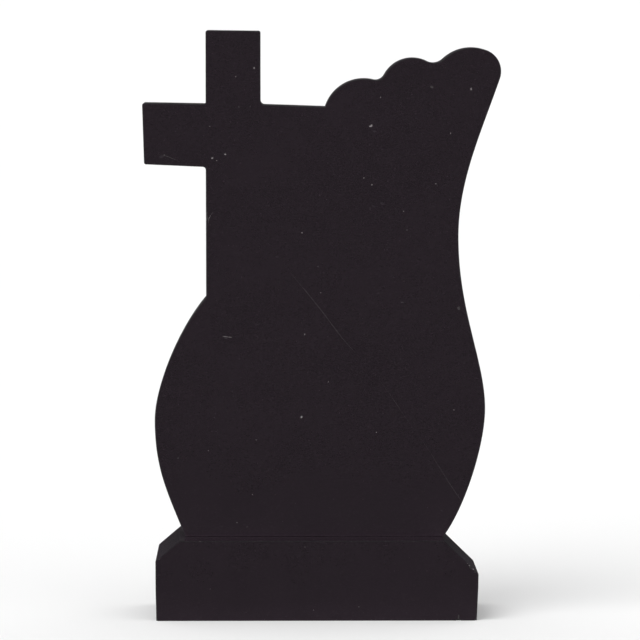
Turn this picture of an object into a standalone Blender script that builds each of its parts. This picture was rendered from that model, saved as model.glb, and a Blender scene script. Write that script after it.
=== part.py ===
# Headstone: a flat slab of polished black stone, sawn to an outline, on a low plinth.
# The outline has a cross with one arm at the upper left, a crest of three round lobes
# at the upper right, a waist, and a round belly that draws in to the foot.
# Metres, +Z up, +X to the right, the front faces -Y. The origin is the middle of the
# plinth's underside.

import math

import bmesh
import bpy
from mathutils import Vector

for old in list(bpy.data.objects):
    bpy.data.objects.remove(old, do_unlink=True)

# Plinth: a block whose two ends slope in to a level seat
PLINTH_WIDTH = 0.600
PLINTH_DEPTH = 0.200
PLINTH_HEIGHT = 0.150
LEFT_SHOULDER_HEIGHT = 0.1135
RIGHT_SHOULDER_HEIGHT = 0.085
PLINTH_ARRIS = 0.0025

# Foot of the slab: its two ends, from the middle of the plinth, and what the seat
# shows beyond them
FOOT_LEFT = 0.2462
FOOT_RIGHT = 0.239
SEAT_MARGIN_LEFT = 0.011
SEAT_MARGIN_RIGHT = 0.001
SEAT_GAP = 0.0003

# Slab
SLAB_THICKNESS = 0.080
SLAB_ARRIS = 0.002

# Left side of the slab, from the foot up to the top of the cross.
# Each reach is measured from the middle of the plinth, each rise from the value before.
LEFT_BELLY_REACH = 0.3024
LEFT_BELLY_RISE = 0.218
NECK_REACH = 0.2058
NECK_FOOT_RISE = 0.2300
NECK_LENGTH = 0.2440
ARM_LENGTH = 0.1147
ARM_HEIGHT = 0.1164
CROSS_TOP_RISE = 0.137
CROSS_WIDTH = 0.1017
SHOULDER_LENGTH = 0.1204

# The sawn lines run a little out of true
ARM_UNDERSIDE_DROP = 0.0050
ARM_TOP_DROP = 0.0022
ARM_END_LEAN = 0.0034
CROSS_TOP_DROP = 0.0015
SHOULDER_STEP = 0.0012
SHOULDER_DROP = 0.0040

# Inner corners, each as wide as the saw wire left it
ARM_ROOT_RADIUS = 0.006
CROSSING_RADIUS = 0.004
SHOULDER_RADIUS = 0.008

# Crest: three lobes, each placed from the one before, with hollows between them
LOBE_1_RADIUS = 0.0766
LOBE_1_SINK = 0.0244
LOBE_2_RADIUS = 0.0601
LOBE_2_PITCH = 0.0908
LOBE_2_RISE = 0.0552
LOBE_3_RADIUS = 0.0779
LOBE_3_PITCH = 0.1101
LOBE_3_RISE = 0.0012
HOLLOW_1_RADIUS = 0.0177
HOLLOW_2_RADIUS = 0.0260
NOSE_RADIUS = 0.0420
NOSE_START = math.radians(72)
NOSE_END = math.radians(-19)

# Right side of the slab, from the foot up
RIGHT_BELLY_REACH = 0.3155
RIGHT_BELLY_RISE = 0.240
WAIST_REACH = 0.2646
WAIST_RISE = 0.323

# How far the side curves lean where they meet a corner, from upright
LEFT_FOOT_LEAN = math.radians(22)
NECK_FOOT_LEAN = math.radians(41)
RIGHT_FOOT_LEAN = math.radians(36)

# How full the side curves are: the length of their handles as a share of the chord
LEFT_FOOT_FULLNESS = 0.40
LEFT_BELLY_FULLNESS = 0.28
RIGHT_BELLY_FULLNESS = 0.27
WAIST_FULLNESS = 0.43
FLANK_FULLNESS = 0.345

# Facets of the round stretches
ARC_STEP = math.radians(4.5)
CURVE_STEP = 0.012

STONE_COLOUR = (0.0205, 0.0159, 0.0197, 1.0)
STONE_ROUGHNESS = 0.12


def turned(angle):
    """A unit direction in the outline's plane, at an angle from the right."""
    return Vector((math.cos(angle), math.sin(angle)))


def heading(vector):
    """The angle of a direction in the outline's plane."""
    return math.atan2(vector.y, vector.x)


def arc(centre, radius, start, end):
    """Points along a round stretch, both ends included."""
    count = max(2, math.ceil(abs(end - start) / ARC_STEP))
    return [centre + radius * turned(start + (end - start) * i / count)
            for i in range(count + 1)]


def fillet(before, corner, after, radius):
    """A corner between two straight runs, rounded."""
    back = (before - corner).normalized()
    onward = (after - corner).normalized()
    half = back.angle(onward) / 2
    centre = corner + (back + onward).normalized() * radius / math.sin(half)
    start = heading(corner + back * radius / math.tan(half) - centre)
    end = heading(corner + onward * radius / math.tan(half) - centre)
    if end - start > math.pi:
        end -= math.tau
    elif end - start < -math.pi:
        end += math.tau
    return arc(centre, radius, start, end)


def sweep(first, leaving, last, arriving, near_fullness, far_fullness):
    """A long smooth curve from one point and direction to another, without its ends."""
    chord = (last - first).length
    near = first + near_fullness * chord * leaving
    far = last - far_fullness * chord * arriving
    count = max(4, math.ceil(chord / CURVE_STEP))
    points = []
    for i in range(1, count):
        t = i / count
        s = 1 - t
        points.append(s**3 * first + 3*s*s*t * near + 3*s*t*t * far + t**3 * last)
    return points


def hollow_centre(left, left_radius, right, right_radius, radius):
    """The centre of a round hollow that lies on two lobes and touches both."""
    across = right - left
    along = across.normalized()
    upward = Vector((-along.y, along.x))
    from_left = left_radius + radius
    from_right = right_radius + radius
    run = (from_left**2 - from_right**2 + across.length**2) / (2 * across.length)
    return left + along * run + upward * math.sqrt(from_left**2 - run**2)


def crest(shoulder_end):
    """The three lobes and the nose, from the end of the shoulder to the right flank."""
    half_chord = math.sqrt(LOBE_1_RADIUS**2 - LOBE_1_SINK**2)
    lobe_1 = shoulder_end + Vector((half_chord, -LOBE_1_SINK))
    lobe_2 = lobe_1 + Vector((LOBE_2_PITCH, LOBE_2_RISE))
    lobe_3 = lobe_2 + Vector((LOBE_3_PITCH, LOBE_3_RISE))
    hollow_1 = hollow_centre(lobe_1, LOBE_1_RADIUS, lobe_2, LOBE_2_RADIUS, HOLLOW_1_RADIUS)
    hollow_2 = hollow_centre(lobe_2, LOBE_2_RADIUS, lobe_3, LOBE_3_RADIUS, HOLLOW_2_RADIUS)
    nose = lobe_3 + (LOBE_3_RADIUS - NOSE_RADIUS) * turned(NOSE_START)

    points = arc(lobe_1, LOBE_1_RADIUS, heading(shoulder_end - lobe_1), heading(hollow_1 - lobe_1))
    points += arc(hollow_1, HOLLOW_1_RADIUS, heading(lobe_1 - hollow_1), heading(lobe_2 - hollow_1))[1:]
    points += arc(lobe_2, LOBE_2_RADIUS, heading(hollow_1 - lobe_2), heading(hollow_2 - lobe_2))[1:]
    points += arc(hollow_2, HOLLOW_2_RADIUS, heading(lobe_2 - hollow_2), heading(lobe_3 - hollow_2))[1:]
    points += arc(lobe_3, LOBE_3_RADIUS, heading(hollow_2 - lobe_3), NOSE_START)[1:]
    points += arc(nose, NOSE_RADIUS, NOSE_START, NOSE_END)[1:]
    return points


def slab_outline():
    """The slab's outline, clockwise from the left of its foot, and its square corners."""
    upright = Vector((0, 1))

    left_foot = Vector((-FOOT_LEFT, 0))
    left_belly = Vector((-LEFT_BELLY_REACH, LEFT_BELLY_RISE))
    neck_foot = Vector((-NECK_REACH, left_belly.y + NECK_FOOT_RISE))
    arm_root = neck_foot + Vector((0, NECK_LENGTH))
    crossing = arm_root + Vector((0, ARM_HEIGHT))
    arm_low = arm_root + Vector((-ARM_LENGTH, ARM_UNDERSIDE_DROP))
    arm_high = crossing + Vector((-ARM_LENGTH - ARM_END_LEAN, ARM_TOP_DROP))
    cross_left = crossing + Vector((0, CROSS_TOP_RISE))
    cross_right = cross_left + Vector((CROSS_WIDTH, -CROSS_TOP_DROP))
    shoulder = crossing + Vector((CROSS_WIDTH, -SHOULDER_STEP))
    shoulder_end = shoulder + Vector((SHOULDER_LENGTH, -SHOULDER_DROP))

    right_foot = Vector((FOOT_RIGHT, 0))
    right_belly = Vector((RIGHT_BELLY_REACH, RIGHT_BELLY_RISE))
    waist = Vector((WAIST_REACH, right_belly.y + WAIST_RISE))

    points = [left_foot]
    points += sweep(left_foot, turned(math.pi / 2 + LEFT_FOOT_LEAN), left_belly, upright,
                    LEFT_FOOT_FULLNESS, LEFT_FOOT_FULLNESS)
    points += [left_belly]
    points += sweep(left_belly, upright, neck_foot, turned(math.pi / 2 - NECK_FOOT_LEAN),
                    LEFT_BELLY_FULLNESS, LEFT_BELLY_FULLNESS)
    points += [neck_foot]
    points += fillet(neck_foot, arm_root, arm_low, ARM_ROOT_RADIUS)
    points += [arm_low, arm_high]
    points += fillet(arm_high, crossing, cross_left, CROSSING_RADIUS)
    points += [cross_left, cross_right]
    points += fillet(cross_right, shoulder, shoulder_end, SHOULDER_RADIUS)
    points += crest(shoulder_end)
    points += sweep(points[-1], turned(NOSE_END - math.pi / 2), waist, -upright,
                    FLANK_FULLNESS, FLANK_FULLNESS)
    points += [waist]
    points += sweep(waist, -upright, right_belly, -upright, WAIST_FULLNESS, RIGHT_BELLY_FULLNESS)
    points += [right_belly]
    points += sweep(right_belly, -upright, right_foot, turned(-math.pi / 2 - RIGHT_FOOT_LEAN),
                    RIGHT_BELLY_FULLNESS, RIGHT_BELLY_FULLNESS)
    points += [right_foot]
    return points, [arm_low, arm_high, cross_left, cross_right]


def plinth_outline():
    """The plinth's outline, clockwise from its lower left, and its eased corners."""
    end = PLINTH_WIDTH / 2
    left_shoulder = Vector((-end, LEFT_SHOULDER_HEIGHT))
    right_shoulder = Vector((end, RIGHT_SHOULDER_HEIGHT))
    seat_left = Vector((-FOOT_LEFT - SEAT_MARGIN_LEFT, PLINTH_HEIGHT))
    seat_right = Vector((FOOT_RIGHT + SEAT_MARGIN_RIGHT, PLINTH_HEIGHT))
    points = [Vector((-end, 0)), left_shoulder, seat_left, seat_right, right_shoulder, Vector((end, 0))]
    return points, [left_shoulder, right_shoulder]


def stone_material(name):
    """Polished black stone."""
    material = bpy.data.materials.new(name)
    material.use_nodes = True
    shader = material.node_tree.nodes["Principled BSDF"]
    shader.inputs["Base Color"].default_value = STONE_COLOUR
    shader.inputs["Roughness"].default_value = STONE_ROUGHNESS
    shader.inputs["Metallic"].default_value = 0.0
    return material


def sawn_stone(name, outline, corners, thickness, arris):
    """An outline sawn right through a block, with eased edges above a sharp underside."""
    shape = bmesh.new()
    front = [shape.verts.new((p.x, -thickness / 2, p.y)) for p in outline]
    back = [shape.verts.new((p.x, thickness / 2, p.y)) for p in outline]
    shape.faces.new(front)
    shape.faces.new(reversed(back))
    for i in range(len(outline)):
        j = (i + 1) % len(outline)
        shape.faces.new((front[j], front[i], back[i], back[j]))
    bmesh.ops.recalc_face_normals(shape, faces=shape.faces)

    eased = [edge for side in (front, back) for edge in shape.edges
             if all(v in side for v in edge.verts) and any(v.co.z > 0 for v in edge.verts)]
    eased += [shape.edges.get((front[outline.index(c)], back[outline.index(c)])) for c in corners]
    bmesh.ops.bevel(shape, geom=eased, offset=arris, segments=1, affect="EDGES")

    mesh = bpy.data.meshes.new(name)
    shape.to_mesh(mesh)
    shape.free()
    mesh.materials.append(stone_material(name + "_stone"))
    stone = bpy.data.objects.new(name, mesh)
    bpy.context.scene.collection.objects.link(stone)
    return stone


plinth = sawn_stone("plinth", *plinth_outline(), PLINTH_DEPTH, PLINTH_ARRIS)

stele = sawn_stone("stele", *slab_outline(), SLAB_THICKNESS, SLAB_ARRIS)
stele.location.z = PLINTH_HEIGHT + SEAT_GAP
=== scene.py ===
# Black grave marker: a polished slab with a cross and a lobed crest, standing on a low plinth.
import math
import random

import bmesh
import bpy
from mathutils import Matrix, Vector, noise
from mathutils.geometry import delaunay_2d_cdt


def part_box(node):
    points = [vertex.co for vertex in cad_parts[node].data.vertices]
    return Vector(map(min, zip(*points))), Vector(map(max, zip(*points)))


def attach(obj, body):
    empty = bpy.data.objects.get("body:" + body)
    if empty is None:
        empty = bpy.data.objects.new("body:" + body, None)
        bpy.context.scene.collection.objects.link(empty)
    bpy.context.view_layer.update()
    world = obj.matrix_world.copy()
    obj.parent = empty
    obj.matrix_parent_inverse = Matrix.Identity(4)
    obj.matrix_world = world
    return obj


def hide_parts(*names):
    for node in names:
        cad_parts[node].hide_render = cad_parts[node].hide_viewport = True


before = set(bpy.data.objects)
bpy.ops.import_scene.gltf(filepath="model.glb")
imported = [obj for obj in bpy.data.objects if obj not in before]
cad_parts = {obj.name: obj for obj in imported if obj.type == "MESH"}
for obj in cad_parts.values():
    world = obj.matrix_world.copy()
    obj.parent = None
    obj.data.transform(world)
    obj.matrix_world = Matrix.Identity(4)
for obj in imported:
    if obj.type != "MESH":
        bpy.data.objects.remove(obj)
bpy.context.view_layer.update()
print("frame loaded:", ", ".join(sorted(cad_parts)))


# Camera, floor and light

cameraSet = {
    "place": (-0.058, -7.100, 1.173),
    "aim": (0.006, -0.100, 0.5622),
    "lensMm": 213.75,
    "sensorMm": 36.0,
}

studio = {
    "floorSize": 3200.0,
    "paperTone": 0.86,
    "wallRadius": 1500.0,
    "wallHeight": 430.0,
    "skyTone": 1.0,
    "clothTone": 0.10,           # dark cloth before and behind, which keeps the polish black
    "clothFrom": 0.60,           # how far the cloth reaches to the sides
    "clothTo": 0.90,
    "sunFrom": (-0.62, -0.55, 0.95),
    "sunPower": 1.25,
    "sunSpread": 48.0,           # degrees, wide for a soft shadow
}


def aimed(thing, place, target):
    thing.location = place
    thing.rotation_euler = (Vector(target) - Vector(place)).to_track_quat("-Z", "Y").to_euler()


def addCamera(values):
    data = bpy.data.cameras.new("camera")
    data.lens = values["lensMm"]
    data.sensor_width = values["sensorMm"]
    data.clip_end = 6000.0
    camera = bpy.data.objects.new("camera", data)
    bpy.context.scene.collection.objects.link(camera)
    aimed(camera, values["place"], values["aim"])
    bpy.context.scene.camera = camera


def addNode(tree, kind, settings=None, inputs=None):
    made = tree.nodes.new(kind)
    for name, value in (settings or {}).items():
        setattr(made, name, value)
    for name, value in (inputs or {}).items():
        if isinstance(value, bpy.types.NodeSocket):
            tree.links.new(value, made.inputs[name])
        else:
            made.inputs[name].default_value = value
    return made


def newFinish(name):
    finish = bpy.data.materials.new(name)
    finish.use_nodes = True
    tree = finish.node_tree
    tree.nodes.clear()
    shader = addNode(tree, "ShaderNodeBsdfPrincipled")
    addNode(tree, "ShaderNodeOutputMaterial", inputs={"Surface": shader.outputs["BSDF"]})
    return finish, tree, shader


def addStudio(values):
    scene = bpy.context.scene
    scene.view_settings.view_transform = "Standard"
    scene.view_settings.look = "None"

    world = bpy.data.worlds.new("studio")
    scene.world = world
    world.use_nodes = True
    tree = world.node_tree
    tree.nodes.clear()
    direction = addNode(tree, "ShaderNodeTexCoord").outputs["Generated"]
    parts = addNode(tree, "ShaderNodeSeparateXYZ", inputs={"Vector": direction})
    facing = addNode(tree, "ShaderNodeMath", {"operation": "ABSOLUTE"}, {0: parts.outputs["Y"]})
    tone = addNode(tree, "ShaderNodeMapRange", {"interpolation_type": "SMOOTHSTEP"}, {
        "Value": facing.outputs["Value"], "From Min": values["clothFrom"], "From Max": values["clothTo"],
        "To Min": values["skyTone"], "To Max": values["clothTone"]})
    background = addNode(tree, "ShaderNodeBackground", inputs={"Color": tone.outputs["Result"]})
    addNode(tree, "ShaderNodeOutputWorld", inputs={"Surface": background.outputs["Background"]})

    light = bpy.data.lights.new("softSun", "SUN")
    light.energy = values["sunPower"]
    light.angle = math.radians(values["sunSpread"])
    sun = bpy.data.objects.new("softSun", light)
    scene.collection.objects.link(sun)
    aimed(sun, values["sunFrom"], (0, 0, 0))

    paper, tree, shader = newFinish("palePaper")
    shader.inputs["Base Color"].default_value = (values["paperTone"],) * 3 + (1,)
    shader.inputs["Roughness"].default_value = 0.9
    shader.inputs["Specular IOR Level"].default_value = 0.0
    half = values["floorSize"] / 2
    sides = 72
    ring = [(math.cos(2 * math.pi * k / sides), math.sin(2 * math.pi * k / sides)) for k in range(sides)]
    shapes = {
        "floor": ([(-half, -half, 0), (half, -half, 0), (half, half, 0), (-half, half, 0)], [(0, 1, 2, 3)]),
        "backdrop": ([(c * values["wallRadius"], s * values["wallRadius"], z)
                      for z in (-1.0, values["wallHeight"]) for c, s in ring],
                     [(k, sides + k, sides + (k + 1) % sides, (k + 1) % sides) for k in range(sides)]),
    }
    for name, (corners, faces) in shapes.items():
        mesh = bpy.data.meshes.new(name)
        mesh.from_pydata(corners, [], faces)
        mesh.materials.append(paper)
        piece = bpy.data.objects.new(name, mesh)
        scene.collection.objects.link(piece)
        piece.visible_glossy = False          # the stone mirrors the cloth and the sky instead


addCamera(cameraSet)
addStudio(studio)
print("camera and studio ready")


# Finishes of the one dark stone

finishes = {
    "grainSize": 0.0017,         # one crystal, metres
    "lathSize": 0.0042,          # longer pale crystals
    "lathShare": 0.38,           # how much of the tone comes from them
    "toneSteps": {"dark": 0.15, "mid": 0.48, "light": 0.82, "glint": 0.97},
    "fleckSpacing": 0.0085,
    "fleckPaler": 3.2,           # a fleck against a glint
    "fleckPalest": 0.5,
    "sawCentre": (0.35, 0.0, -1.30),  # the middle of the blade's arcs
    "sawShare": 0.55,            # how much of a sawn face's relief is the blade's
    "polished": {"dark": (0.0153, 0.0104, 0.0142), "mid": (0.0163, 0.0112, 0.0152),
                 "light": (0.0180, 0.0128, 0.0170), "glint": (0.0226, 0.0167, 0.0214),
                 "roughness": (0.08, 0.17), "shine": 0.5, "relief": 0.00001},
    "dulled": {"dark": (0.0205, 0.0158, 0.0200), "mid": (0.0240, 0.0188, 0.0236),
               "light": (0.0285, 0.0230, 0.0280), "glint": (0.036, 0.030, 0.0355),
               "roughness": (0.55, 0.75), "shine": 0.06, "relief": 0.00010},
    "easedEdge": {"dark": (0.0105, 0.0085, 0.0102), "mid": (0.0140, 0.0115, 0.0136),
                  "light": (0.020, 0.0172, 0.0196), "glint": (0.034, 0.030, 0.033),
                  "roughness": (0.55, 0.75), "shine": 0.12, "relief": 0.00012},
    "honed": {"dark": (0.0124, 0.0092, 0.0124), "mid": (0.0170, 0.0128, 0.0170),
              "light": (0.0228, 0.0178, 0.0228), "glint": (0.037, 0.030, 0.037),
              "roughness": (0.6, 0.8), "shine": 0.06, "relief": 0.00030},
    "sawn": {"dark": (0.026, 0.0238, 0.0255), "mid": (0.036, 0.0335, 0.0352),
             "light": (0.049, 0.0458, 0.048), "glint": (0.085, 0.080, 0.083),
             "roughness": (0.62, 0.82), "shine": 0.18, "relief": 0.00022},
    "broken": {"dark": (0.020, 0.018, 0.0195), "mid": (0.034, 0.031, 0.033),
               "light": (0.062, 0.058, 0.060), "glint": (0.15, 0.14, 0.145),
               "roughness": (0.6, 0.9), "shine": 0.25, "relief": 0.0005},
    "grazed": {"dark": (0.036, 0.031, 0.033), "mid": (0.055, 0.048, 0.051),
               "light": (0.085, 0.076, 0.079), "glint": (0.13, 0.12, 0.125),
               "roughness": (0.5, 0.8), "shine": 0.3, "relief": 0.0001},
    "bruised": {"dark": (0.17, 0.152, 0.156), "mid": (0.26, 0.238, 0.243),
                "light": (0.36, 0.333, 0.340), "glint": (0.46, 0.43, 0.44),
                "roughness": (0.7, 0.95), "shine": 0.2, "relief": 0.0003},
}


# painted light by height: paler near the ground, on the slab's foot and on the seat, lifting the shade and
# dark reflections there, painted shade on the arris in front of the seat, holding back its highlight:
# (height, how many times as pale)
paintedFootLight = [
    (0.0, 1.43), (0.015, 1.34), (0.022, 1.27), (0.035, 1.15), (0.070, 1.06), (0.1476, 1.03), (0.1484, 0.66),
    (0.1495, 0.68), (0.14965, 1.50), (0.1501, 1.50), (0.15025, 3.95), (0.1508, 3.80), (0.1513, 2.35),
    (0.1524, 2.22), (0.1545, 1.96), (0.160, 1.69), (0.165, 1.56), (0.171, 1.43), (0.178, 1.34), (0.187, 1.26),
    (0.198, 1.195), (0.212, 1.13), (0.230, 1.07), (0.260, 1.03), (0.300, 1.0),
]
palestPaintedLight = 4.0                 # a ramp's colours end at 1, so it holds shares of this


# the painted light and painted shade by height, as a factor on the colour
def footLightFactor(tree, place):
    height = addNode(tree, "ShaderNodeSeparateXYZ", inputs={"Vector": place})
    top = paintedFootLight[-1][0]
    upward = addNode(tree, "ShaderNodeMapRange", inputs={"Value": height.outputs["Z"], "From Max": top})
    ramp = addNode(tree, "ShaderNodeValToRGB", inputs={"Fac": upward.outputs["Result"]})
    stops = ramp.color_ramp.elements
    while len(stops) < len(paintedFootLight):
        stops.new(0.5)
    for stop, (level, paler) in zip(stops, paintedFootLight):
        share = paler / palestPaintedLight
        stop.position = level / top
        stop.color = (share, share, share, 1)
    restored = addNode(tree, "ShaderNodeMath", {"operation": "MULTIPLY"}, {
        0: ramp.outputs["Color"], 1: palestPaintedLight})
    return restored.outputs["Value"]


def multiplied(tree, colour, factor):
    mix = addNode(tree, "ShaderNodeMix", {"data_type": "RGBA", "blend_type": "MULTIPLY"}, {"Factor": 1.0})
    tree.links.new(colour, mix.inputs[6])
    tree.links.new(factor, mix.inputs[7])
    return mix.outputs[2]


def stoneFinish(name, values, sawLines=False, wornBelow=None, paintFootLight=False):
    finish, tree, shader = newFinish(name)
    place = addNode(tree, "ShaderNodeTexCoord").outputs["Object"]

    # crystals, each with its own chance value
    crystals = addNode(tree, "ShaderNodeTexVoronoi", inputs={
        "Vector": place, "Scale": 1 / finishes["grainSize"], "Randomness": 1.0})
    crystalChance = addNode(tree, "ShaderNodeSeparateColor", inputs={"Color": crystals.outputs["Color"]})
    stretched = addNode(tree, "ShaderNodeMapping", inputs={
        "Vector": place, "Rotation": (0.5, 0.4, 0.9), "Scale": (1.0, 1.0, 2.6)})
    laths = addNode(tree, "ShaderNodeTexVoronoi", inputs={
        "Vector": stretched.outputs["Vector"], "Scale": 1 / finishes["lathSize"], "Randomness": 1.0})
    lathChance = addNode(tree, "ShaderNodeSeparateColor", inputs={"Color": laths.outputs["Color"]})
    paired = addNode(tree, "ShaderNodeMix", {"data_type": "FLOAT"}, {
        "Factor": finishes["lathShare"], "A": crystalChance.outputs["Red"], "B": lathChance.outputs["Green"]})

    # slow clouding of the whole stone
    clouds = addNode(tree, "ShaderNodeTexNoise", inputs={
        "Vector": place, "Scale": 9.0, "Detail": 5.0, "Roughness": 0.62})
    clouded = addNode(tree, "ShaderNodeMapRange", inputs={
        "Value": clouds.outputs["Fac"], "From Min": 0.3, "From Max": 0.7, "To Min": 0.94, "To Max": 1.06})

    ramp = addNode(tree, "ShaderNodeValToRGB", inputs={"Fac": paired.outputs["Result"]})
    stops = ramp.color_ramp.elements
    for stop, key in ((stops[0], "dark"), (stops[1], "glint")):
        stop.position = finishes["toneSteps"][key]
        stop.color = values[key] + (1,)
    for key in ("mid", "light"):
        stop = stops.new(finishes["toneSteps"][key])
        stop.color = values[key] + (1,)
    tinted = multiplied(tree, ramp.outputs["Color"], clouded.outputs["Result"])
    # painted light near the ground and at the slab's foot, painted shade on the arris in front of the seat
    if paintFootLight:
        tinted = multiplied(tree, tinted, footLightFactor(tree, place))

    if sawLines:
        away = addNode(tree, "ShaderNodeVectorMath", {"operation": "SUBTRACT"}, {0: place})
        away.inputs[1].default_value = finishes["sawCentre"]
        level = addNode(tree, "ShaderNodeVectorMath", {"operation": "MULTIPLY"}, {0: away.outputs["Vector"]})
        level.inputs[1].default_value = (1.0, 0.0, 1.0)
        radius = addNode(tree, "ShaderNodeVectorMath", {"operation": "LENGTH"}, {0: level.outputs["Vector"]})
        streaks = addNode(tree, "ShaderNodeTexNoise", {"noise_dimensions": "1D"}, {
            "W": radius.outputs["Value"], "Scale": 55.0, "Detail": 7.0, "Roughness": 0.72})
        streaked = addNode(tree, "ShaderNodeMapRange", inputs={
            "Value": streaks.outputs["Fac"], "From Min": 0.3, "From Max": 0.7,
            "To Min": 0.80, "To Max": 1.22})
        tinted = multiplied(tree, tinted, streaked.outputs["Result"])
    if wornBelow:
        # a little paler and patchy towards the lower end of a slope
        height = addNode(tree, "ShaderNodeSeparateXYZ", inputs={"Vector": place})
        worn = addNode(tree, "ShaderNodeMapRange", inputs={
            "Value": height.outputs["Z"], "From Min": wornBelow[0], "From Max": wornBelow[1],
            "To Min": 1.22, "To Max": 0.78})
        patches = addNode(tree, "ShaderNodeTexNoise", inputs={
            "Vector": place, "Scale": 70.0, "Detail": 3.0, "Roughness": 0.6})
        patched = addNode(tree, "ShaderNodeMapRange", inputs={
            "Value": patches.outputs["Fac"], "From Min": 0.3, "From Max": 0.7,
            "To Min": 0.86, "To Max": 1.14})
        both = addNode(tree, "ShaderNodeMath", {"operation": "MULTIPLY"}, {
            0: worn.outputs["Result"], 1: patched.outputs["Result"]})
        tinted = multiplied(tree, tinted, both.outputs["Value"])

    # few pale flecks, smaller than a crystal
    flecks = addNode(tree, "ShaderNodeTexVoronoi", inputs={
        "Vector": place, "Scale": 1 / finishes["fleckSpacing"], "Randomness": 1.0})
    fleckChance = addNode(tree, "ShaderNodeSeparateColor", inputs={"Color": flecks.outputs["Color"]})
    fleckReach = addNode(tree, "ShaderNodeMapRange", inputs={
        "Value": fleckChance.outputs["Blue"], "From Min": 0.45, "From Max": 1.0,
        "To Min": 0.0, "To Max": 0.085})
    fleckMask = addNode(tree, "ShaderNodeMath", {"operation": "LESS_THAN"}, {0: flecks.outputs["Distance"]})
    tree.links.new(fleckReach.outputs["Result"], fleckMask.inputs[1])
    flecked = addNode(tree, "ShaderNodeMix", {"data_type": "RGBA"}, {"Factor": fleckMask.outputs["Value"]})
    tree.links.new(tinted, flecked.inputs[6])
    paleFleck = tuple(min(finishes["fleckPaler"] * channel, finishes["fleckPalest"])
                      for channel in values["glint"])
    flecked.inputs[7].default_value = paleFleck + (1,)
    tree.links.new(flecked.outputs[2], shader.inputs["Base Color"])

    smoothest, roughest = values["roughness"]
    gloss = addNode(tree, "ShaderNodeMapRange", inputs={
        "Value": crystalChance.outputs["Green"], "To Min": smoothest, "To Max": roughest})
    tree.links.new(gloss.outputs["Result"], shader.inputs["Roughness"])
    shader.inputs["Specular IOR Level"].default_value = values["shine"]

    # relief of the grain, with the blade's arcs where the stone is only sawn
    relief = crystals.outputs["Distance"]
    if sawLines:
        fromCentre = addNode(tree, "ShaderNodeMapping", inputs={
            "Vector": place, "Location": [-part for part in finishes["sawCentre"]]})
        arcs = addNode(tree, "ShaderNodeTexWave", {"wave_type": "RINGS", "rings_direction": "Y"}, {
            "Vector": fromCentre.outputs["Vector"], "Scale": 95.0, "Distortion": 1.4,
            "Detail": 3.0, "Detail Scale": 2.0})
        joined = addNode(tree, "ShaderNodeMix", {"data_type": "FLOAT"}, {
            "Factor": finishes["sawShare"], "A": relief, "B": arcs.outputs["Fac"]})
        relief = joined.outputs["Result"]
    bump = addNode(tree, "ShaderNodeBump", inputs={
        "Strength": 1.0, "Distance": values["relief"], "Height": relief})
    tree.links.new(bump.outputs["Normal"], shader.inputs["Normal"])
    return finish


finishOrder = ["polished", "easedEdge", "honed", "sawn", "broken", "grazed", "bruised", "dulled"]
slopeEnds = (0.085, 0.148)       # the slopes are worn between these heights
stoneFinishes = []
for name in finishOrder:
    worn = slopeEnds if name == "honed" else None
    # the polished and eased faces carry the painted light and painted shade by height
    paintFootLight = name in ("polished", "easedEdge")
    stoneFinishes.append(stoneFinish(name + "Stone", finishes[name], name == "sawn", worn, paintFootLight))
polished, easedEdge, honed, sawn, broken, grazed, bruised, dulled = range(len(finishOrder))
print("finishes ready:", len(stoneFinishes))


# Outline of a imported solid, made finer

samePlace = 1e-5                 # points closer than this are one
refining = {
    "hardTurn": 18,              # degrees, a sharper turn is a corner
    "chamferLength": 0.006,      # a shorter run between two corners is a chamfer
    "straightLength": 0.020,     # a longer run is straight, a shorter one is part of a curve
    "cornerSteps": 7,
    "arrisSteps": 5,
    "leastCosine": 0.3,          # keeps a very sharp corner from being set back too far
    "rowShare": 0.87,            # height of a row of staggered points against their spacing
    "creaseTurn": 32,            # degrees, a sharper edge stays crisp
}


def nodeOutline(nodeName, arris):
    # from the left foot over the top to the right foot, seen from the front
    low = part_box(nodeName)[0]
    solid = bmesh.new()
    solid.from_mesh(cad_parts[nodeName].data)
    bmesh.ops.remove_doubles(solid, verts=solid.verts, dist=samePlace)
    rim = {v for v in solid.verts if abs(v.co.y - low.y - arris) < samePlace}
    spot = min((v for v in rim if v.co.z < low.z + samePlace), key=lambda v: v.co.x)
    walked = []
    while spot:
        walked.append(spot)
        onward = [e.other_vert(spot) for e in spot.link_edges]
        onward = [v for v in onward if v in rim and v not in walked[-3:] and v is not walked[0]]
        spot = onward[0] if onward else None
    points = [Vector((v.co.x, v.co.z)) for v in walked]
    solid.free()
    return points


def turnAt(points, i):
    before, after = points[i] - points[i - 1], points[i + 1] - points[i]
    return before.angle_signed(after)


def crossing(a, alongA, b, alongB):
    # where two lines meet
    bottom = alongA.x * alongB.y - alongA.y * alongB.x
    reach = ((b.x - a.x) * alongB.y - (b.y - a.y) * alongB.x) / bottom
    return a + alongA * reach


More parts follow.
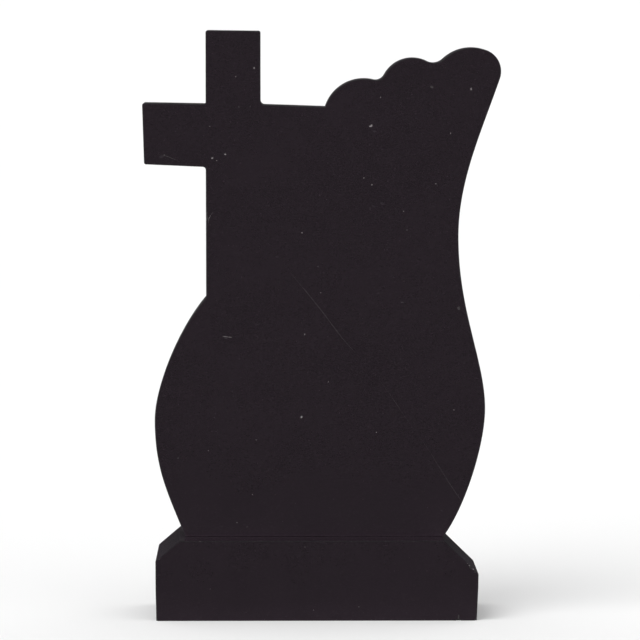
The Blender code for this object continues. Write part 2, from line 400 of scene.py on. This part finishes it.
def finerOutline(points, step, cornerRadius):
    last = len(points) - 1
    hard = {i for i in range(1, last) if abs(turnAt(points, i)) > math.radians(refining["hardTurn"])}
    along = [(points[i + 1] - points[i]).normalized() for i in range(last)]
    lengths = [(points[i + 1] - points[i]).length for i in range(last)]

    # a chamfered corner becomes a round one
    rounded = {}
    for i in sorted(hard):
        if i + 1 in hard and lengths[i] < refining["chamferLength"]:
            tip = crossing(points[i - 1], along[i - 1], points[i + 1], along[i + 1])
            turn = abs(along[i - 1].angle(along[i + 1]))
            setBack = cornerRadius * math.tan(turn / 2)
            start, end = tip - along[i - 1] * setBack, tip + along[i + 1] * setBack
            inward = Vector((along[i - 1].y, -along[i - 1].x))
            centre = start + inward * cornerRadius
            steps = refining["cornerSteps"]
            arc = []
            for k in range(steps + 1):
                turned = Matrix.Rotation(-turn * k / steps, 2)
                arc.append(centre + turned @ (start - centre))
            rounded[i] = (arc, end)
    fine = []
    i = 0
    start = points[0]
    while i < last:
        if i in rounded:
            fine += rounded[i][0][:-1]
            start = rounded[i][0][-1]
            i += 1
            continue
        end = rounded[i + 1][0][0] if i + 1 in rounded else points[i + 1]
        count = max(1, round((end - start).length / step))
        straight = lengths[i] > refining["straightLength"]
        tangents = []
        for j, k in ((i, i - 1), (i + 1, i + 1)):
            # the direction at each end of this stretch
            if straight or j in hard or j in (0, last):
                tangents.append(along[i])
            elif lengths[k] > refining["straightLength"]:
                tangents.append(along[k])
            else:
                tangents.append((along[i] * lengths[k] + along[k] * lengths[i]).normalized())
        size = (end - start).length
        for k in range(count):
            t = k / count
            if straight:
                fine.append(start.lerp(end, t))
            else:
                fine.append((2 * t**3 - 3 * t**2 + 1) * start + (t**3 - 2 * t**2 + t) * size * tangents[0]
                            + (3 * t**2 - 2 * t**3) * end + (t**3 - t**2) * size * tangents[1])
        i += 1
        start = end
    fine.append(points[last])
    return fine


def sideways(points):
    # the outward direction at each point, longer at a sharp corner
    found = []
    for i in range(len(points)):
        before = (points[i] - points[i - 1]).normalized() if i else (points[1] - points[0]).normalized()
        after = (points[i + 1] - points[i]).normalized() if i < len(points) - 1 else before
        out = Vector((-before.y - after.y, before.x + after.x)).normalized()
        stretch = 1 / max(math.cos(before.angle(after) / 2), refining["leastCosine"])
        found.append(out * stretch)
    # both feet stay on the level underside
    for i in (0, len(points) - 1):
        found[i] = Vector((1 / found[i].x, 0.0))
    return found


def crossRows(thickness, arris, hold, wallRows):
    # (inset from the outline, place through the thickness) from the front face to the back face
    rows = [(arris + hold, -thickness / 2)]
    steps = refining["arrisSteps"]
    for k in range(steps + 1):
        angle = math.pi / 2 * k / steps
        rows.append((arris * (1 - math.sin(angle)), -thickness / 2 + arris * (1 - math.cos(angle))))
    span = thickness - 2 * arris
    middle = [(0.0, -span / 2 + span * k / wallRows) for k in range(1, wallRows)]
    return rows + middle + [(inset, -y) for inset, y in reversed(rows)]


def gridInside(loop, spacing, margin):
    # staggered points inside a closed loop, well clear of its edge
    spots = []
    low, high = min(p.y for p in loop), max(p.y for p in loop)
    rowCount = int((high - low) / (spacing * refining["rowShare"]))
    for r in range(1, rowCount):
        level = low + (high - low) * r / rowCount
        cuts = []
        for band in (level - margin, level, level + margin):
            hits = []
            for a, b in zip(loop, loop[1:] + loop[:1]):
                if (a.y > band) != (b.y > band):
                    hits.append(a.x + (band - a.y) / (b.y - a.y) * (b.x - a.x))
            hits.sort()
            cuts.append(list(zip(hits[::2], hits[1::2])))
        x = min(p.x for p in loop) + (r % 2) * spacing / 2
        while x < max(p.x for p in loop):
            if all(any(a + margin < x < b - margin for a, b in cut) for cut in cuts):
                spots.append(Vector((x, level)))
            x += spacing
    return spots


sawing = {
    "chatterSlice": 0.3,         # which slice of the noise shapes the grinding facets
    "wanderPitch": 14.0,
    "wanderThrough": 0.7,        # slower through the thickness than along the outline
    "slowPitch": 7.0,            # how the ripples come and go over the back
    "rippleShare": 0.6,
    "slowShare": 0.4,
    "netMargin": 0.6,            # the net's distance from the edge against its spacing
}
facing = {"flat": 0.98, "seat": 0.95, "slope": 0.3}  # how squarely a face points one way to be one of these
skin = 0.0005                    # a face closer than this to the solid's end lies in it


def sawnBody(name, outline, values):
    # a block sawn through to an outline: flat front, eased edges, ground sides, ripples on its back
    rows = crossRows(values["thickness"], values["arris"], values["hold"], values["wallRows"])
    out = sideways(outline)
    body = bmesh.new()
    rings = []
    for inset, y in rows:
        ring = []
        for i, p in enumerate(outline):
            ground = noise.noise(Vector((p.x, p.y, sawing["chatterSlice"])) * values["chatterPitch"])
            ground = 0.5 + 0.5 * ground
            long = noise.noise(Vector((p.x, y * sawing["wanderThrough"], p.y)) * sawing["wanderPitch"])
            long = 0.5 + 0.5 * long
            dent = values["chatter"] * ground + values["wander"] * long
            if i in (0, len(outline) - 1):
                dent = 0.0
            at = p - out[i] * (inset + dent) + values["outOfSquare"](p, y)
            at = Vector((min(max(at.x, values["low"].x), values["high"].x), min(at.y, values["high"].z)))
            ring.append(body.verts.new((at.x, y, at.y)))
        rings.append(ring)
    for a, b in zip(rings, rings[1:]):
        for i in range(len(outline) - 1):
            face = body.faces.new((a[i], a[i + 1], b[i + 1], b[i]))
            face.smooth = True
    body.faces.new(list(reversed(rings[0])))
    body.faces.new([ring[0] for ring in rings] + [ring[-1] for ring in reversed(rings)])

    # the back is a fine net, so that the blade's ripples are real shapes
    backLoop = [Vector((v.co.x, v.co.z)) for v in rings[-1]]
    spots = gridInside(backLoop, values["netSize"], values["netSize"] * sawing["netMargin"])
    count = len(backLoop)
    net = delaunay_2d_cdt(backLoop + spots, [], [list(range(count))], 1, 1e-7)
    backVerts = list(rings[-1])
    blade = Vector(values["bladeCentre"])
    for spot in spots:
        away = (spot - blade).length
        ripple = 0.5 + 0.5 * math.sin(away / values["rippleLength"] * 2 * math.pi)
        slow = 0.5 + 0.5 * noise.noise(Vector((spot.x, 0.0, spot.y)) * sawing["slowPitch"])
        depth = values["ripple"] * (sawing["rippleShare"] * ripple * slow + sawing["slowShare"] * slow)
        backVerts.append(body.verts.new((spot.x, values["thickness"] / 2 - depth, spot.y)))
    known = [ids[0] for ids in net[3]]
    for face in net[2]:
        corners = [backVerts[known[k]] for k in face]
        made = body.faces.new(corners)
        made.smooth = True
    bmesh.ops.recalc_face_normals(body, faces=body.faces)
    body.normal_update()

    for face in body.faces:
        middle = face.calc_center_median()
        face.material_index = values["finishOf"](face.normal, middle)
    mesh = bpy.data.meshes.new(name)
    body.to_mesh(mesh)
    body.free()
    for finish in stoneFinishes:
        mesh.materials.append(finish)
    stone = bpy.data.objects.new(name, mesh)
    bpy.context.scene.collection.objects.link(stone)
    return stone


# Flaws, cut out of the stone

chipping = {
    "bump": 0.28,                # how uneven a hollow is
    "bumpPitch": 1.7,
    "grit": 0.10,
    "gritPitch": 5.0,
    "leastDepth": 0.0002,        # of a shallow mark in a face
    "sunk": 0.25,                # how much of its depth a mark's middle lies outside the face
    "grooveAbove": 0.0004,
    "fullGroove": 0.0006,        # a narrower groove is shallower
}


def chipCutter(cutter, place, size, seed, finish, lean=0.0):
    # an uneven ball: what it removes leaves a hollow with a crisp rim
    made = bmesh.ops.create_icosphere(cutter, subdivisions=3, radius=1.0)
    for v in made["verts"]:
        rough = noise.noise(v.co * chipping["bumpPitch"] + Vector((seed, 0, seed * 0.7)))
        fine = noise.noise(v.co * chipping["gritPitch"] + Vector((0, seed, seed * 1.3)))
        v.co = v.co * (1 + chipping["bump"] * rough + chipping["grit"] * fine)
        v.co = Matrix.Rotation(lean, 3, "Y") @ Vector((v.co.x * size[0], v.co.y * size[1], v.co.z * size[2]))
        v.co += Vector(place)
    for face in {f for v in made["verts"] for f in v.link_faces}:
        face.material_index = finish
        face.smooth = True


def markCutter(cutter, x, z, size, deep, frontY, seed, finish, lean=0.0):
    # a shallow hollow in the front face
    wide, high = size
    depth = deep * min(wide, high) + chipping["leastDepth"]
    place = (x, frontY - chipping["sunk"] * depth, z)
    chipCutter(cutter, place, (wide, depth, high), seed, finish, lean)


def grooveCutter(cutter, points, depth, finish, frontY):
    # a long three-sided bar that leaves a fine groove; each point is (x, z, width)
    sections = []
    for i, (x, z, width) in enumerate(points):
        here = Vector((x, z))
        before = Vector(points[max(i - 1, 0)][:2])
        after = Vector(points[min(i + 1, len(points) - 1)][:2])
        along = (after - before).normalized()
        side = Vector((-along.y, along.x))
        left, right = here + side * width / 2, here - side * width / 2
        deep = depth * min(1.0, width / chipping["fullGroove"])
        above = frontY - chipping["grooveAbove"]
        sections.append([cutter.verts.new((left.x, above, left.y)),
                         cutter.verts.new((here.x, frontY + deep, here.y)),
                         cutter.verts.new((right.x, above, right.y))])
    for a, b in zip(sections, sections[1:]):
        for k in range(3):
            face = cutter.faces.new((a[k], b[k], b[(k + 1) % 3], a[(k + 1) % 3]))
            face.material_index = finish
    for ends in (sections[0], list(reversed(sections[-1]))):
        cutter.faces.new(ends).material_index = finish


def cutAway(stone, cutter):
    bmesh.ops.recalc_face_normals(cutter, faces=cutter.faces)
    mesh = bpy.data.meshes.new("cutter")
    cutter.to_mesh(mesh)
    cutter.free()
    for finish in stoneFinishes:
        mesh.materials.append(finish)
    tool = bpy.data.objects.new("cutter", mesh)
    bpy.context.scene.collection.objects.link(tool)
    cut = stone.modifiers.new("flaws", "BOOLEAN")
    cut.operation = "DIFFERENCE"
    cut.solver = "EXACT"
    cut.use_self = True
    cut.object = tool
    bpy.context.view_layer.update()
    ready = bpy.data.meshes.new_from_object(stone.evaluated_get(bpy.context.evaluated_depsgraph_get()))
    stone.modifiers.clear()
    old = stone.data
    stone.data = ready
    ready.name = stone.name
    bpy.data.meshes.remove(old)
    bpy.data.objects.remove(tool)
    bpy.data.meshes.remove(mesh)


def crispShading(stone):
    # true flats shade flat, the rest is smooth up to its real edges
    mesh = stone.data
    mesh.set_sharp_from_angle(angle=math.radians(refining["creaseTurn"]))
    frontY = stone.bound_box[0][1]
    for face in mesh.polygons:
        flat = abs(face.normal.y) > 0.9999 and abs(face.center.y - frontY) < samePlace
        face.use_smooth = not (flat or face.normal.z < -0.999)


# The slab

slabLow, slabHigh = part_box("stele")
slab = {
    "thickness": slabHigh.y - slabLow.y,
    "low": slabLow,
    "high": slabHigh,
    "solidArris": 0.002,
    "arris": 0.002,
    "hold": 0.001,
    "cornerRadius": 0.004,
    "step": 0.004,
    "wallRows": 8,
    "chatter": 0.00009,          # short grinding facets on the sides
    "chatterPitch": 130.0,
    "wander": 0.00014,           # slow wander of the wire saw
    "netSize": 0.0065,
    "ripple": 0.00035,
    "rippleLength": 0.034,
    "bladeCentre": finishes["sawCentre"][::2],  # its x and z
}


def slabFinish(normal, middle):
    if normal.y < -facing["flat"]:
        return polished
    if normal.y > facing["flat"] or normal.z < -facing["flat"] and middle.z < slabLow.z + 2 * skin:
        return sawn
    return easedEdge


slab["finishOf"] = slabFinish
slab["outOfSquare"] = lambda p, y: Vector((0.0, 0.0))
slabOutline = finerOutline(nodeOutline("stele", slab["solidArris"]), slab["step"], slab["cornerRadius"])
stele = sawnBody("steleStone", slabOutline, slab)
print("slab sawn:", len(slabOutline), "outline points,", len(stele.data.polygons), "faces")

slabFlaws = {
    # small pits in the polished face: x, z, half width, half height, lean
    "pits": [
        (-0.028, 0.375, 0.0015, 0.0026, 0.4), (-0.1695, 0.866, 0.0018, 0.0012, 0.2),
        (-0.1935, 0.859, 0.0020, 0.0014, -0.3), (-0.1155, 1.026, 0.0014, 0.0016, 0.0),
        (-0.022, 0.530, 0.0008, 0.0017, 0.0), (0.103, 0.809, 0.0013, 0.0013, 0.0),
        (-0.027, 0.720, 0.0011, 0.0012, 0.6), (0.088, 0.822, 0.0009, 0.0009, 0.0),
        (0.249, 0.905, 0.0008, 0.0013, 0.0), (-0.149, 0.176, 0.0010, 0.0006, 0.0),
        (0.119, 0.972, 0.0008, 0.0011, 0.0), (0.022, 0.441, 0.0007, 0.0009, 0.0),
        (-0.198, 0.918, 0.0009, 0.0006, 0.0), (0.222, 0.811, 0.0009, 0.0009, 0.0),
        (0.008, 0.608, 0.0007, 0.0007, 0.0), (0.162, 0.760, 0.0008, 0.0008, 0.0),
        (-0.120, 0.229, 0.0008, 0.0008, 0.0), (-0.150, 1.010, 0.0009, 0.0008, 0.0),
        (0.112, 0.346, 0.0008, 0.0008, 0.0), (-0.202, 0.312, 0.0007, 0.0007, 0.0),
        (0.257, 0.388, 0.0005, 0.0014, 0.0), (-0.113, 0.332, 0.0007, 0.0007, 0.0),
        (0.287, 0.987, 0.0018, 0.0020, 0.0), (-0.1855, 0.8545, 0.0008, 0.0008, 0.0),
        (-0.2826, 0.8650, 0.0008, 0.0008, 0.0),
    ],
    # fainter marks, as if rubbed: x, z, half width, half height, lean
    "rubs": [
        (0.214, 0.991, 0.0032, 0.0021, 0.5), (0.1595, 0.590, 0.0030, 0.0008, 0.1),
        (0.1685, 0.725, 0.0016, 0.0010, 0.0),
        (0.003, 0.657, 0.0018, 0.0009, 0.0), (-0.130, 0.168, 0.0016, 0.0009, 0.0),
        (-0.259, 0.298, 0.0014, 0.0014, 0.0), (0.2655, 0.579, 0.0026, 0.0034, 0.0),
        (-0.144, 0.954, 0.0006, 0.0014, 0.0), (-0.123, 0.955, 0.0006, 0.0018, 0.0),
    ],
    # the faintest, only a dulled polish: x, z, half width, half height, lean
    "hazes": [
        (0.1060, 0.7695, 0.0040, 0.0020, 0.3), (0.1000, 0.7645, 0.0020, 0.0032, 0.1),
        (0.1222, 0.7748, 0.0038, 0.0024, 0.5), (0.1075, 0.9085, 0.0040, 0.0018, 0.1),
        (-0.2875, 0.8618, 0.0050, 0.0030, -0.3), (0.115, 0.607, 0.0032, 0.0011, 0.1),
        (-0.111, 0.548, 0.0034, 0.0011, -0.1), (-0.0735, 0.675, 0.0034, 0.0011, 0.1),
        (-0.178, 0.169, 0.0036, 0.0018, 0.6), (0.235, 0.198, 0.0030, 0.0016, 0.6),
    ],
    # scratches, strokes and the streak on the neck: (x, z, width) along each
    "longScratch": [
        (-0.0900, 0.7065, 0.0001), (-0.0660, 0.6700, 0.0002), (-0.0468, 0.6432, 0.0004),
        (-0.0428, 0.6382, 0.0011), (-0.0388, 0.6332, 0.0005), (-0.0318, 0.6252, 0.0008),
        (-0.0198, 0.6112, 0.0015), (0.0112, 0.5722, 0.0015), (0.0312, 0.5452, 0.0017),
        (0.0472, 0.5242, 0.0011), (0.0592, 0.5102, 0.0011), (0.0637, 0.5052, 0.0016),
        (0.0672, 0.5012, 0.0004), (0.0855, 0.4812, 0.0002), (0.1050, 0.4582, 0.0002),
        (0.1225, 0.4378, 0.0002), (0.1355, 0.4199, 0.0005), (0.1505, 0.3979, 0.0007),
        (0.1615, 0.3809, 0.0005), (0.1725, 0.3659, 0.0002), (0.1928, 0.3373, 0.0002),
        (0.2144, 0.3058, 0.0005), (0.2390, 0.2654, 0.0011), (0.2610, 0.2314, 0.0016),
        (0.2674, 0.2228, 0.0012), (0.2760, 0.2100, 0.0003),
    ],
    "armScratch": [
        (-0.2890, 0.8605, 0.0004), (-0.2860, 0.8625, 0.0010), (-0.2826, 0.8636, 0.0022),
        (-0.2790, 0.8630, 0.0020), (-0.2740, 0.8610, 0.0017), (-0.2684, 0.8587, 0.0015),
        (-0.2610, 0.8555, 0.0010), (-0.2530, 0.8518, 0.0003),
    ],
    "upperStroke": [(-0.1755, 0.5266, 0.0004), (-0.1725, 0.5262, 0.0016), (-0.1645, 0.5253, 0.0014),
                    (-0.1600, 0.5248, 0.0016), (-0.1580, 0.5246, 0.0005)],
    "neckStreak": [(-0.1938, 0.7582, 0.0003), (-0.1962, 0.7535, 0.0007), (-0.1984, 0.7495, 0.0012),
                   (-0.2007, 0.7454, 0.0012), (-0.2014, 0.7411, 0.0006), (-0.2003, 0.7364, 0.0004),
                   (-0.1975, 0.7310, 0.0002)],
    "lowerStroke": [(-0.1745, 0.5236, 0.0003), (-0.1700, 0.5230, 0.0007), (-0.1655, 0.5223, 0.0003)],
    # spalls on the front edge: x, z, reach sideways, reach through, reach along, lean
    "spalls": [
        (-0.2060, 0.7470, 0.0032, 0.0034, 0.0075, 0.2), (-0.2058, 0.7570, 0.0030, 0.0026, 0.0030, 0.0),
        (0.2670, 0.7575, 0.0024, 0.0034, 0.0040, 0.0), (0.2663, 0.7420, 0.0018, 0.0026, 0.0030, 0.0),
        (0.2665, 0.7285, 0.0026, 0.0030, 0.0036, 0.0), (-0.1041, 1.0260, 0.0016, 0.0030, 0.0060, 0.0),
        (-0.1041, 0.9820, 0.0012, 0.0022, 0.0030, 0.0),
    ],
    # the widest mark is three-cornered: its middle, then (x, z from there, half width, half height, lean)
    "cornered": (0.101, 0.9185),
    "corneredParts": [(0, 0, 0.0022, 0.0017, 0.3), (0.0016, 0.0012, 0.0013, 0.0019, -0.5),
                      (-0.0017, -0.0008, 0.0017, 0.0009, 0.7)],
    "littleNicks": 46,           # tiny ones at random along the front and back edges
    "nickSeed": 11,
    "nickReach": 0.0028,
}


def randomNicks(cutter, outline, count, seed, faces, reach):
    # by chance along the outline, smaller on the front edge
    chance = random.Random(seed)
    for k in range(count):
        i = chance.randrange(3, len(outline) - 3)
        p = outline[i]
        y = chance.choice(faces)
        size = reach * (0.35 + 0.65 * chance.random() ** 2.2) * (0.4 if y < 0 else 1.0)
        stretch = chance.uniform(0.8, 2.0)
        along = (outline[i + 1] - outline[i - 1]).normalized()
        lean = math.atan2(-along.y, along.x)
        chipCutter(cutter, (p.x, y, p.y), (size * stretch, size * chance.uniform(0.7, 1.3), size),
                   seed + k * 2.3, broken, lean)


def cutSlabFlaws():
    cutter = bmesh.new()
    frontY, backY = slabLow.y, slabHigh.y
    chip = 0
    for kind, finish, deep in (("pits", bruised, 0.7), ("rubs", grazed, 0.7), ("hazes", dulled, 0.04)):
        for x, z, wide, high, lean in slabFlaws[kind]:
            chip += 1
            markCutter(cutter, x, z, (wide, high), deep, frontY, chip * 3.1, finish, lean)
    middleX, middleZ = slabFlaws["cornered"]
    for dx, dz, wide, high, lean in slabFlaws["corneredParts"]:
        chip += 1
        place = (middleX + dx, frontY - 0.0003, middleZ + dz)
        chipCutter(cutter, place, (wide, 0.0010, high), chip, bruised, lean)
    for kind, deep, finish in (("longScratch", 0.00022, grazed), ("armScratch", 0.00035, grazed),
                               ("upperStroke", 0.00035, bruised), ("lowerStroke", 0.00030, bruised),
                               ("neckStreak", 0.00030, bruised)):
        grooveCutter(cutter, slabFlaws[kind], deep, finish, frontY)
    for n, (x, z, wide, through, high, lean) in enumerate(slabFlaws["spalls"]):
        chipCutter(cutter, (x, frontY, z), (wide, through, high), 40 + n * 1.9, broken, lean)
    randomNicks(cutter, slabOutline, slabFlaws["littleNicks"], slabFlaws["nickSeed"],
                (frontY, frontY, backY, backY, backY), slabFlaws["nickReach"])
    cutAway(stele, cutter)
    crispShading(stele)


cutSlabFlaws()
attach(stele, "root")
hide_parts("stele")
print("slab flaws cut:", len(stele.data.polygons), "faces")


# The plinth

plinthLow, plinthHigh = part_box("plinth")
base = {
    "thickness": plinthHigh.y - plinthLow.y,
    "low": plinthLow,
    "high": plinthHigh,
    "solidArris": 0.0025,
    "arris": 0.0025,
    "hold": 0.001,
    "cornerRadius": 0.005,
    "step": 0.005,
    "wallRows": 20,
    "chatter": 0.00009,
    "chatterPitch": 130.0,
    "wander": 0.00014,
    "netSize": 0.0065,
    "ripple": 0.0004,
    "rippleLength": 0.030,
    "bladeCentre": (-0.20, -0.90),
    # left of the first the seat is not polished: behind the second it is dulled, before it an eased edge
    "dulledSeat": (-0.247, -0.070),
    "skewReach": 0.060,          # over this length an end's moves die out along the seat and up from the foot
    # the left end and the right end: the solid's corner at the seat and height of the shoulder, how far each
    # of them moves at the front and at the back, how far the end leans out up to its shoulder, and how far
    # it draws in at its foot
    "ends": {-1: {"corner": -0.2572, "shoulder": 0.1135, "cornerMoves": (0.0014, -0.0017),
                  "shoulderMoves": (-0.0013, 0.0014), "lean": 0.0002, "foot": 0.0012},
             1: {"corner": 0.2400, "shoulder": 0.0850, "cornerMoves": (-0.0030, -0.0075),
                 "shoulderMoves": (0.0027, -0.0019), "lean": 0.0014, "foot": 0.0018}},
}
for name, side in (("low", -1), ("high", 1)):
    base[name] = base[name] + Vector((side * base["ends"][side]["lean"], 0.0, 0.0))


def plinthFinish(normal, middle):
    if normal.y < -facing["flat"]:
        return polished
    if normal.y > facing["flat"] or middle.z < skin:
        return sawn
    if abs(normal.x) > facing["slope"] and normal.z > facing["slope"]:
        return honed
    if normal.z > facing["seat"] and middle.z > plinthHigh.z - skin:
        if middle.x > base["dulledSeat"][0]:
            return polished
        return dulled if middle.y > base["dulledSeat"][1] else easedEdge
    return easedEdge


def plinthSkew(p, y):
    # each slope turns a little from front to back
    through = y / base["thickness"] + 0.5
    side = 1 if p.x > 0 else -1
    end = base["ends"][side]
    cornerMove, shoulderMove = [front + (back - front) * through
                                for front, back in (end["cornerMoves"], end["shoulderMoves"])]
    reach = (p.x - end["corner"]) * side
    if reach < 0:
        return Vector((cornerMove * max(1 + reach / base["skewReach"], 0.0), 0.0))
    if p.y > end["shoulder"]:
        down = reach / (plinthHigh.x - end["corner"] * side)
        return Vector((cornerMove * (1 - down) + side * end["lean"] * down, shoulderMove * down))
    up = p.y / end["shoulder"]
    drawnIn = end["foot"] * max(1 - p.y / base["skewReach"], 0.0)
    return Vector((side * (end["lean"] * up - drawnIn), shoulderMove * up))


base["finishOf"] = plinthFinish
base["outOfSquare"] = plinthSkew
plinthOutline = finerOutline(nodeOutline("plinth", base["solidArris"]), base["step"], base["cornerRadius"])
plinth = sawnBody("plinthStone", plinthOutline, base)
print("plinth sawn:", len(plinth.data.polygons), "faces")

plinthFlaws = {
    # x, z, half width, half height
    "pits": [(-0.022, 0.1385, 0.0009, 0.0006), (-0.1985, 0.060, 0.0005, 0.0004),
             (0.0785, 0.026, 0.0006, 0.0006), (-0.006, 0.020, 0.0006, 0.0007)],
    "bruises": [(0.264, 0.006, 0.0014, 0.0050)],
    # x, z, reach sideways, reach through, reach along, lean
    "spalls": [
        (0.2872, 0.1010, 0.0034, 0.0040, 0.0036, 0.8), (0.2958, 0.0922, 0.0020, 0.0030, 0.0026, 0.8),
        (-0.2940, 0.1170, 0.0020, 0.0024, 0.0026, -0.8), (0.2640, 0.0005, 0.0055, 0.0030, 0.0026, 0.0),
        (0.2970, 0.0020, 0.0030, 0.0040, 0.0040, 0.0), (-0.2980, 0.0020, 0.0022, 0.0030, 0.0040, 0.0),
        (0.2245, 0.1496, 0.0040, 0.0012, 0.0008, 0.0),
    ],
    # fresh chips beside them, still white
    "freshChips": [
        (0.2841, 0.1036, 0.0014, 0.0020, 0.0013, 0.8), (0.2893, 0.1000, 0.0011, 0.0014, 0.0009, 0.3),
        (0.2912, 0.0966, 0.0014, 0.0020, 0.0012, 0.9), (0.2946, 0.0933, 0.0008, 0.0012, 0.0008, 0.8),
        (0.2862, 0.1010, 0.0007, 0.0012, 0.0007, 0.8), (0.2803, 0.1072, 0.0008, 0.0012, 0.0007, 0.8),
    ],
    "littleNicks": 34,
    "nickSeed": 29,
    "nickReach": 0.0036,
}


def cutPlinthFlaws():
    cutter = bmesh.new()
    frontY, backY = plinthLow.y, plinthHigh.y
    chip = 0
    for kind, finish in (("pits", bruised), ("bruises", grazed)):
        for x, z, wide, high in plinthFlaws[kind]:
            chip += 1
            markCutter(cutter, x, z, (wide, high), 0.7, frontY, chip * 4.7, finish)
    for kind, finish, seed in (("spalls", broken, 70), ("freshChips", bruised, 120)):
        for n, (x, z, wide, through, high, lean) in enumerate(plinthFlaws[kind]):
            chipCutter(cutter, (x, frontY, z), (wide, through, high), seed + n * 2.7, finish, lean)
    randomNicks(cutter, plinthOutline, plinthFlaws["littleNicks"], plinthFlaws["nickSeed"],
                (frontY, frontY, backY, backY, backY), plinthFlaws["nickReach"])
    cutAway(plinth, cutter)
    crispShading(plinth)


cutPlinthFlaws()
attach(plinth, "root")
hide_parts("plinth")
print("plinth flaws cut:", len(plinth.data.polygons), "faces")
